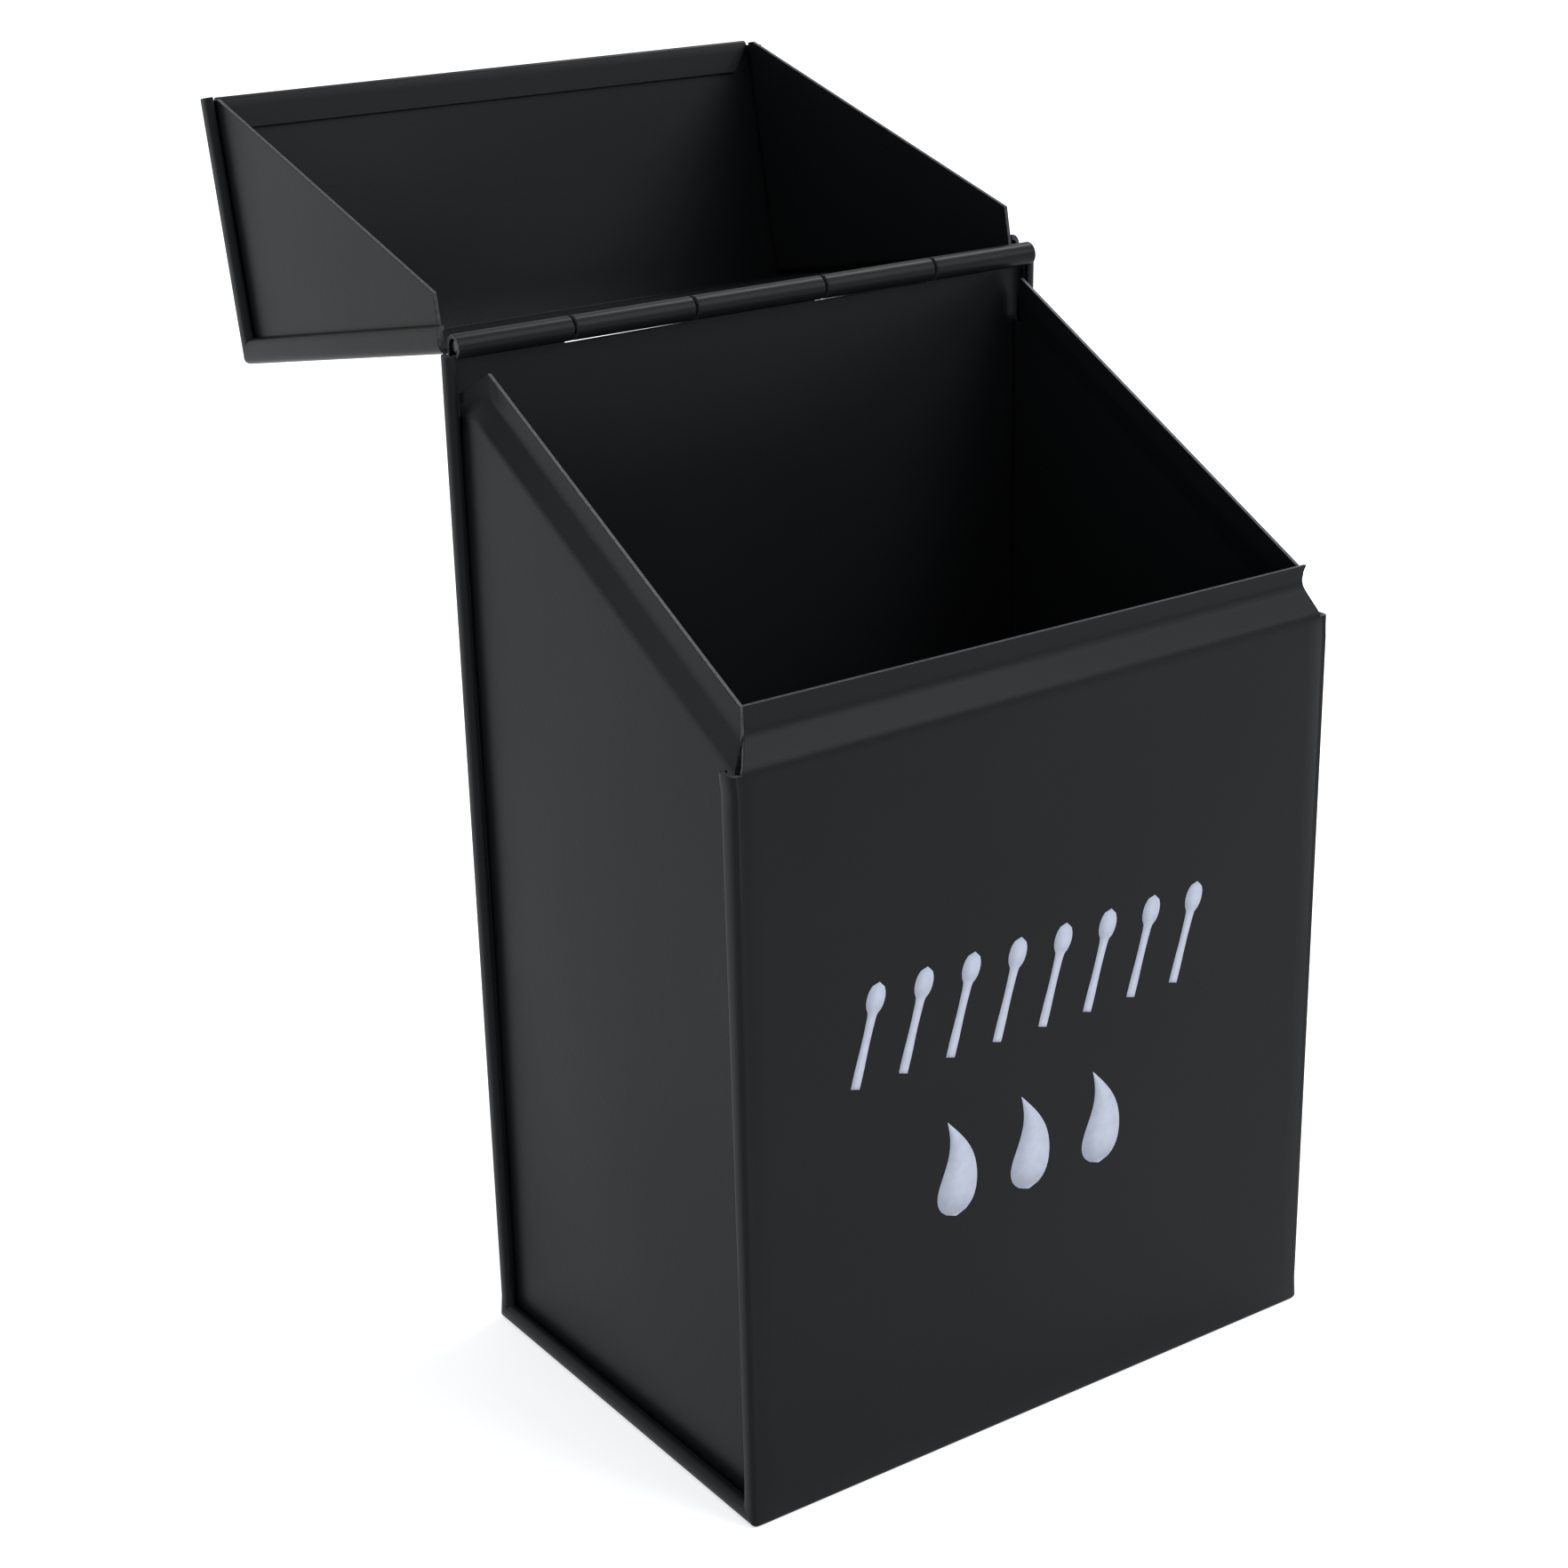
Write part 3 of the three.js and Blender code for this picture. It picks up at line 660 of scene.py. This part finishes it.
def lid_side_skin(size, depth, side):
    """One skin of a lid side, drawn shut and at the right: a wedge with a lip along its top and front."""
    flange = size.rim - size.sheet / 2
    face = size.lid_width / 2 - size.recess
    reach = size.lid_width / 2 - size.sheet - FIT - face
    first, last = size.lid_front + flange, size.lid_back + (0.1 if side > 0 else -1.9)
    heel = size.lid_front + 2 * size.rim
    plate = filled([first + LIP_MARGIN, heel, last], 1.6)
    y, rise_y = lipped(first, plate, 0, depth, size, reach, lip_end=False)
    low = np.interp(y, [heel, last], [size.lid_drop - FIT, size.lid_side_back])
    down, rise_z = lipped(flange, np.array([]), 0, depth, size, reach, lip_end=False)
    steps = np.linspace(0, 1, 24)[1:, None]
    top = size.lid_rise - down[-1]
    z = np.concatenate([size.lid_rise - down[:, None] * np.ones_like(y), top + steps * (-low - top)])
    rise = np.concatenate([rise_z, np.full(steps.size, -depth)])
    x = face + np.maximum(rise[:, None], rise_y[None, :])
    return np.stack([x, np.broadcast_to(y, x.shape), z], axis=-1)


def lid_side(size, side):
    outer, inner = (lid_side_skin(size, depth, side) for depth in (0.0, size.sheet))
    present = np.ones((outer.shape[0] - 1, outer.shape[1] - 1), bool)
    for skin in (outer, inner):
        skin[..., 0] *= side
    name = "lid_side_right_sheet" if side > 0 else "lid_side_left_sheet"
    piece = sheet_object(name, turned_open(outer, size), turned_open(inner, size), present)
    rounded(piece)
    return piece


def hinge_pin(size):
    """The hinge wire: a profile of (x, r) turned about the hinge axis, with a small cap at either end."""
    radius = size.knuckle - size.sheet - PIN_PLAY
    end = size.hinge_end - PIN_RECESS
    profile = np.array([[0.0, 0.03], [0.0, radius - 0.2], [0.06, radius - 0.06], [0.2, radius]])
    x = np.concatenate([-end + profile[:, 0], np.linspace(-end, end, 42)[1:-1], end - profile[::-1, 0]])
    r = np.concatenate([profile[:, 1], np.full(40, radius), profile[::-1, 1]])
    angles = np.linspace(0, 2 * math.pi, 33)[:-1]
    y = size.hinge_y + r[:, None] * np.cos(angles)
    z = size.hinge_z + r[:, None] * np.sin(angles)
    points = np.stack([x[:, None] * np.ones_like(y), y, z], axis=-1).reshape(-1, 3)
    index = np.arange(points.shape[0]).reshape(x.size, angles.size)
    nxt = np.roll(index, -1, axis=1)
    tube = np.stack([index[:-1], nxt[:-1], nxt[1:], index[1:]], axis=-1).reshape(-1, 4)
    half = angles.size // 2
    ring = np.arange(half - 1)
    caps = [
        np.stack([row[ring], row[ring + 1], row[-ring - 2], row[(-ring - 1) % angles.size]], axis=-1)
        for row in (index[0][::-1], index[-1])
    ]
    return mesh_object("hinge_pin_wire", points, np.concatenate([tube, *caps]))


# Print


def match_outline(middle, t):
    """A slanting match as its left and right edge: a stick of half width w, which a sine makes a little
    uneven, and an oval head."""
    lean = math.radians(16)
    long, head_middle, head_half = 12.0, 10.1, 1.9
    foot = np.array([middle - 6 * math.tan(lean), 48.9])
    axis = np.array([math.sin(lean), math.cos(lean)])
    across = np.array([axis[1], -axis[0]])
    along = foot + t[:, None] * long * axis
    stick = 0.56 + 0.04 * np.sin(9 * t + middle)
    head = 1.2 * np.sqrt(np.clip(1 - ((t * long - head_middle) / head_half) ** 2, 0, 1))
    half = np.maximum(np.where(t * long < head_middle + 0.3, stick, 0), head)[:, None]
    return along - half * across, along + half * across


def flame_outline(middle, t):
    """A flame as its left and right edge. The left one lies w = 3.3 sin(pi t^0.62) (1 - 0.35 t) from a
    middle line that swings by 1.9 t sin(3.8 t), and the right one w (1 - 0.25 sin(pi t))."""
    z = 29.4 + 11.8 * t
    body = 3.3 * np.sin(np.pi * t**0.62) * (1 - 0.35 * t)
    swing = middle - 0.3 + 1.9 * t * np.sin(3.8 * t)
    right = swing + body * (1 - 0.25 * np.sin(np.pi * t))
    return np.column_stack([swing - body, z]), np.column_stack([right, z])


def front_print(size):
    """A plain row of slanting matches above three flames, as one thin film that follows the panel."""
    t = np.linspace(0, 1, 25)
    shapes = [match_outline(middle, t) for middle in np.linspace(-24.6, 19.6, 8)]
    shapes += [flame_outline(middle, t) for middle in (-12.6, -2.4, 7.8)]
    points, faces, start = [], [], 0
    for left, right in shapes:
        ring = np.stack([left, right], axis=1)
        x, z = ring[..., 0], ring[..., 1]
        y = size.front + dished(x, z, size.width, size.rim_top_front, DISHING)
        outer = np.stack([x, y - 0.06, z], axis=-1)
        inner = np.stack([x, y + 0.02, z], axis=-1)
        index = start + np.arange(ring.shape[0] * 2).reshape(-1, 2)
        count = index.size
        front = np.stack([index[:-1, 0], index[:-1, 1], index[1:, 1], index[1:, 0]], axis=-1)
        # The wall goes up the left edge, over the tip and down the right edge
        here = np.concatenate([index[:, 0], index[::-1, 1]])
        ahead = np.roll(here, -1)
        wall = np.stack([here, ahead, ahead + count, here + count], axis=-1)
        faces.append(np.concatenate([front, front[:, ::-1] + count, wall]))
        points.append(np.concatenate([outer.reshape(-1, 3), inner.reshape(-1, 3)]))
        start += 2 * count
    return mesh_object("front_print", np.concatenate(points), np.concatenate(faces))


# Finishes


def node(tree, kind, links=None, **values):
    """Adds one node. values sets its properties, and sockets in it the inputs by number or name; links
    joins inputs to outputs."""
    made = tree.nodes.new(kind)
    sockets = values.pop("sockets", {})
    for name, value in values.items():
        setattr(made, name, value)
    for name, value in sockets.items():
        made.inputs[name].default_value = value
    for name, source in (links or {}).items():
        tree.links.new(source, made.inputs[name])
    return made


def noise(tree, place, scale, detail, roughness=0.5):
    """Soft noise whose waves are about 1/scale metres long."""
    sockets = {"Scale": scale, "Detail": detail, "Roughness": roughness}
    return node(tree, "ShaderNodeTexNoise", {"Vector": place}, sockets=sockets).outputs["Fac"]


def product(tree, first, second):
    return node(tree, "ShaderNodeMath", {0: first, 1: second}, operation="MULTIPLY").outputs[0]


def ranged(tree, value, low, high, start, end):
    """Takes low to start and high to end, in proportion between them and held beyond."""
    sockets = {"From Min": low, "From Max": high, "To Min": start, "To Max": end}
    return node(tree, "ShaderNodeMapRange", {"Value": value}, sockets=sockets).outputs["Result"]


def shaded(tree, factor, plain, start, end):
    """The plain colour times start where the factor is 0, and times end where it is 1."""
    mix = node(tree, "ShaderNodeMix", {0: factor}, data_type="RGBA")
    mix.inputs["A"].default_value = (*(min(1.0, c * start) for c in plain), 1.0)
    mix.inputs["B"].default_value = (*(min(1.0, c * end) for c in plain), 1.0)
    return mix.outputs["Result"]


def raised(tree, height, strength, distance):
    """The surface normal over a height that is worth distance metres at 1, shown at the given strength."""
    sockets = {"Strength": strength, "Distance": distance}
    return node(tree, "ShaderNodeBump", {"Height": height}, sockets=sockets).outputs["Normal"]


def new_material(name):
    material = bpy.data.materials.new(name)
    material.use_nodes = True
    material.node_tree.nodes.clear()
    return material, material.node_tree


def satin_black_paint(colours):
    """Stoved satin black enamel on steel: nearly black, with a soft wide sheen, a faint orange peel
    about 1.4 mm across, a few nibs of dust, and thinner, greyer paint on the cut edges, made lighter still
    as a painted highlight along them."""
    material, tree = new_material("satin_black_enamel")
    place = node(tree, "ShaderNodeTexCoord").outputs["Object"]
    cloud = noise(tree, place, 38.0, 3.0, 0.55)
    # Orange peel: 1.4 mm between the bumps
    peel = noise(tree, place, 700.0, 2.0, 0.4)
    grain = noise(tree, place, 2600.0, 1.0)
    tone = shaded(tree, cloud, colours.paint, 0.86, 1.14)
    # Nibs of dust under the paint: 0.8 mm wide, in about one 12 mm cell out of six
    cells = node(tree, "ShaderNodeTexVoronoi", {"Vector": place}, sockets={"Scale": 84.0})
    chance = node(tree, "ShaderNodeSeparateColor", {"Color": cells.outputs["Color"]}).outputs["Red"]
    chosen = node(tree, "ShaderNodeMath", {0: chance}, operation="GREATER_THAN", sockets={1: 0.84})
    nib = product(tree, ranged(tree, cells.outputs["Distance"], 0.0, 0.032, 4.0, 0.0), chosen.outputs[0])
    # The cut edges take the light edge colour: partly real wear, partly a painted highlight along each edge
    # line
    edge = node(tree, "ShaderNodeAttribute", attribute_name="raw_edge").outputs["Fac"]
    edge_wear_and_highlight_mask = product(tree, edge, grain)
    worn = node(tree, "ShaderNodeMix", {0: edge_wear_and_highlight_mask, "A": tone}, data_type="RGBA")
    worn.inputs["B"].default_value = (*colours.worn, 1.0)
    height = node(tree, "ShaderNodeMath", {0: peel, 1: grain, 2: nib}, operation="MULTIPLY_ADD").outputs[0]
    shader = node(
        tree,
        "ShaderNodeBsdfPrincipled",
        {
            "Base Color": worn.outputs["Result"],
            "Roughness": ranged(tree, cloud, 0.3, 0.7, 0.32, 0.38),
            "Normal": raised(tree, height, 0.12, 0.00012),
        },
        sockets={"Specular IOR Level": 0.077, "IOR": 1.5},
    )
    node(tree, "ShaderNodeOutputMaterial", {"Surface": shader.outputs["BSDF"]})
    return material


def pale_ink(colours):
    """Pad-printed pale ink: matt, a little uneven where the film is thin."""
    material, tree = new_material("pad_print_ink")
    place = node(tree, "ShaderNodeTexCoord").outputs["Object"]
    film = noise(tree, place, 900.0, 3.0)
    tone = shaded(tree, film, colours.ink, 0.84, 1.1)
    shader = node(
        tree,
        "ShaderNodeBsdfPrincipled",
        {"Base Color": tone, "Normal": raised(tree, film, 0.1, 0.00005)},
        sockets={"Roughness": 0.6, "Specular IOR Level": 0.3},
    )
    node(tree, "ShaderNodeOutputMaterial", {"Surface": shader.outputs["BSDF"]})
    return material


def pin_steel(colours):
    """Drawn steel wire, dull, with fine rings from the drawing die."""
    material, tree = new_material("drawn_steel_wire")
    place = node(tree, "ShaderNodeTexCoord").outputs["Object"]
    drawn = node(tree, "ShaderNodeMapping", {"Vector": place}, sockets={"Scale": (60.0, 2500.0, 2500.0)})
    tone = shaded(tree, noise(tree, drawn.outputs["Vector"], 1.0, 2.0), colours.steel, 0.7, 1.0)
    surface = {"Metallic": 1.0, "Roughness": 0.4}
    shader = node(tree, "ShaderNodeBsdfPrincipled", {"Base Color": tone}, sockets=surface)
    node(tree, "ShaderNodeOutputMaterial", {"Surface": shader.outputs["BSDF"]})
    return material


def finish(name, make):
    """The material of that name, made once."""
    found = bpy.data.materials.get(name)
    return found or make(bpy.context.scene.matchbox_colours)


# Stage


def background_rays(tree):
    """1 for camera, glossy and transmission rays, 0 for the rays that only carry light."""
    path = node(tree, "ShaderNodeLightPath")
    seen = path.outputs["Is Camera Ray"]
    for kind in ("Is Transmission Ray", "Is Glossy Ray"):
        larger = node(tree, "ShaderNodeMath", {0: seen, 1: path.outputs[kind]}, operation="MAXIMUM")
        seen = larger.outputs[0]
    return seen


def studio_world(tree):
    """White where the background is seen, in gloss and through glass too, and a soft cool light elsewhere,
    at SKY_STRENGTH."""
    seen = background_rays(tree)
    soft = node(tree, "ShaderNodeBackground", sockets={"Color": COOL_LIGHT, "Strength": SKY_STRENGTH})
    white = node(tree, "ShaderNodeBackground", sockets={"Color": (1, 1, 1, 1), "Strength": 1.0})
    both = node(tree, "ShaderNodeMixShader", {0: seen, 1: soft.outputs[0], 2: white.outputs[0]})
    node(tree, "ShaderNodeOutputWorld", {"Surface": both.outputs[0]})


def floor_finish(colours):
    """A matt pale floor that keeps its shadow and glows a little where it is seen, up to white."""
    material, tree = new_material("pale_floor")
    matt = node(tree, "ShaderNodeBsdfDiffuse", sockets={"Color": (*colours.floor, 1.0)})
    lift = node(
        tree, "ShaderNodeMath", {0: background_rays(tree)}, operation="MULTIPLY", sockets={1: FLOOR_GLOW}
    )
    glow = node(tree, "ShaderNodeEmission", {"Strength": lift.outputs[0]})
    both = node(tree, "ShaderNodeAddShader", {0: matt.outputs[0], 1: glow.outputs[0]})
    node(tree, "ShaderNodeOutputMaterial", {"Surface": both.outputs[0]})
    return material


def soft_lamp(name, place, target, size, power):
    light = bpy.data.lights.new(name, "AREA")
    light.shape = "SQUARE"
    light.size = size
    light.energy = power
    lamp = bpy.data.objects.new(name, light)
    bpy.context.scene.collection.objects.link(lamp)
    direction = np.asarray(target, float) - np.asarray(place, float)
    back = -direction / np.linalg.norm(direction)
    side = np.cross([0, 0, 1], back)
    side /= np.linalg.norm(side)
    up = np.cross(back, side)
    rows = np.column_stack([side, up, back, place])
    lamp.matrix_world = Matrix([*rows.tolist(), [0, 0, 0, 1]])
    lamp.visible_camera = False


def photo_camera():
    """The camera of the photograph: 34.6 degrees to the left, 21.1 degrees down, 68.3 mm lens."""
    yaw, pitch, roll = (math.radians(a) for a in (34.578, 21.131, 1.156))
    ahead = np.array([math.sin(yaw) * math.cos(pitch), math.cos(yaw) * math.cos(pitch), -math.sin(pitch)])
    right = np.array([math.cos(yaw), -math.sin(yaw), 0.0])
    down = np.cross(ahead, right)
    level = right * math.cos(roll) + down * math.sin(roll)
    plumb = down * math.cos(roll) - right * math.sin(roll)
    data = bpy.data.cameras.new("photo_camera")
    data.sensor_width = 36.0
    data.lens = data.sensor_width * FOCAL_PIXELS / FRAME_PIXELS
    data.clip_start, data.clip_end = 0.01, 50.0
    camera = bpy.data.objects.new("photo_camera", data)
    bpy.context.scene.collection.objects.link(camera)
    rows = np.column_stack([level, -plumb, -ahead, np.array(CAMERA_PLACE)])
    camera.matrix_world = Matrix([*rows.tolist(), [0, 0, 0, 1]])
    bpy.context.scene.camera = camera


# Operators


class MATCHBOX_OT_body(bpy.types.Operator):
    """Build the folded body: front, bottom, back, rims and knuckles in one sheet"""

    bl_idname = "matchbox.body"
    bl_label = "Body"

    def execute(self, context):
        piece = body_shell(settings())
        dressed(piece, "body", "body_shell", finish("satin_black_enamel", satin_black_paint))
        return {"FINISHED"}


class MATCHBOX_OT_body_sides(bpy.types.Operator):
    """Build the two side panels of the body with their lips and necks"""

    bl_idname = "matchbox.body_sides"
    bl_label = "Body sides"

    def execute(self, context):
        for side, cad in ((-1, "body_side_left"), (1, "body_side_right")):
            piece = body_side(settings(), side)
            dressed(piece, "body", cad, finish("satin_black_enamel", satin_black_paint))
        return {"FINISHED"}


class MATCHBOX_OT_lid(bpy.types.Operator):
    """Build the lid: its folded wrap with hem and knuckles, and its two wedge-shaped sides"""

    bl_idname = "matchbox.lid"
    bl_label = "Lid"

    def execute(self, context):
        paint = finish("satin_black_enamel", satin_black_paint)
        dressed(lid_shell(settings()), "lid", "lid_shell", paint)
        for side, cad in ((-1, "lid_side_left"), (1, "lid_side_right")):
            dressed(lid_side(settings(), side), "lid", cad, paint)
        return {"FINISHED"}


class MATCHBOX_OT_hinge_pin(bpy.types.Operator):
    """Build the wire that runs through the knuckles"""

    bl_idname = "matchbox.hinge_pin"
    bl_label = "Hinge pin"

    def execute(self, context):
        steel = finish("drawn_steel_wire", pin_steel)
        dressed(hinge_pin(settings()), "body", "hinge_pin", steel)
        return {"FINISHED"}


class MATCHBOX_OT_print(bpy.types.Operator):
    """Print the plain motif on the front panel"""

    bl_idname = "matchbox.front_print"
    bl_label = "Front print"

    def execute(self, context):
        piece = front_print(settings())
        piece.data.materials.append(finish("pad_print_ink", pale_ink))
        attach(piece, "body")
        return {"FINISHED"}


class MATCHBOX_OT_stage(bpy.types.Operator):
    """Set up the floor, the soft studio light and the camera"""

    bl_idname = "matchbox.stage"
    bl_label = "Stage"

    def execute(self, context):
        scene = context.scene
        corner = np.array([[-1, -1], [1, -1], [1, 1], [-1, 1]]) * FLOOR_REACH
        ground = np.column_stack([corner, np.full(4, -0.05)])
        floor = mesh_object("floor", ground, np.array([[0, 1, 2, 3]]))
        floor.data.materials.append(floor_finish(scene.matchbox_colours))
        world = bpy.data.worlds.new("studio")
        world.use_nodes = True
        world.node_tree.nodes.clear()
        studio_world(world.node_tree)
        scene.world = world
        # Places and sizes in metres, powers in watts
        aim = (0.0, 0.0, 0.06)
        soft_lamp("left_lamp", (-0.7, 0.9, 0.25), aim, 0.5, 0.7)
        soft_lamp("front_lamp", (0.6, -0.9, 0.85), aim, 0.8, 9.5)
        soft_lamp("top_lamp", (0.65, 0.25, 1.0), aim, 0.3, 4.5)
        photo_camera()
        scene.view_settings.view_transform = "Standard"
        return {"FINISHED"}


class MATCHBOX_PT_panel(bpy.types.Panel):
    """Buttons and sizes of the matchbox"""

    bl_idname = "MATCHBOX_PT_panel"
    bl_label = "Matchbox"
    bl_space_type = "VIEW_3D"
    bl_region_type = "UI"
    bl_category = "Matchbox"

    def draw(self, context):
        column = self.layout.column()
        for operator in OPERATORS:
            column.operator(operator.bl_idname)
        for group in ("matchbox_sizes", "matchbox_colours"):
            holder = getattr(context.scene, group)
            for name in type(holder).__annotations__:
                column.prop(holder, name)


OPERATORS = (
    MATCHBOX_OT_body,
    MATCHBOX_OT_body_sides,
    MATCHBOX_OT_lid,
    MATCHBOX_OT_hinge_pin,
    MATCHBOX_OT_print,
    MATCHBOX_OT_stage,
)
CLASSES = (MatchboxSizes, MatchboxColours, *OPERATORS, MATCHBOX_PT_panel)


def register():
    for item in CLASSES:
        bpy.utils.register_class(item)
    bpy.types.Scene.matchbox_sizes = bpy.props.PointerProperty(type=MatchboxSizes)
    bpy.types.Scene.matchbox_colours = bpy.props.PointerProperty(type=MatchboxColours)


def unregister():
    del bpy.types.Scene.matchbox_colours
    del bpy.types.Scene.matchbox_sizes
    for item in reversed(CLASSES):
        bpy.utils.unregister_class(item)


def main():
    register()
    bpy.ops.matchbox.body()
    bpy.ops.matchbox.body_sides()
    bpy.ops.matchbox.lid()
    bpy.ops.matchbox.hinge_pin()
    bpy.ops.matchbox.front_print()
    bpy.ops.matchbox.stage()


if __name__ == "__main__":
    main()
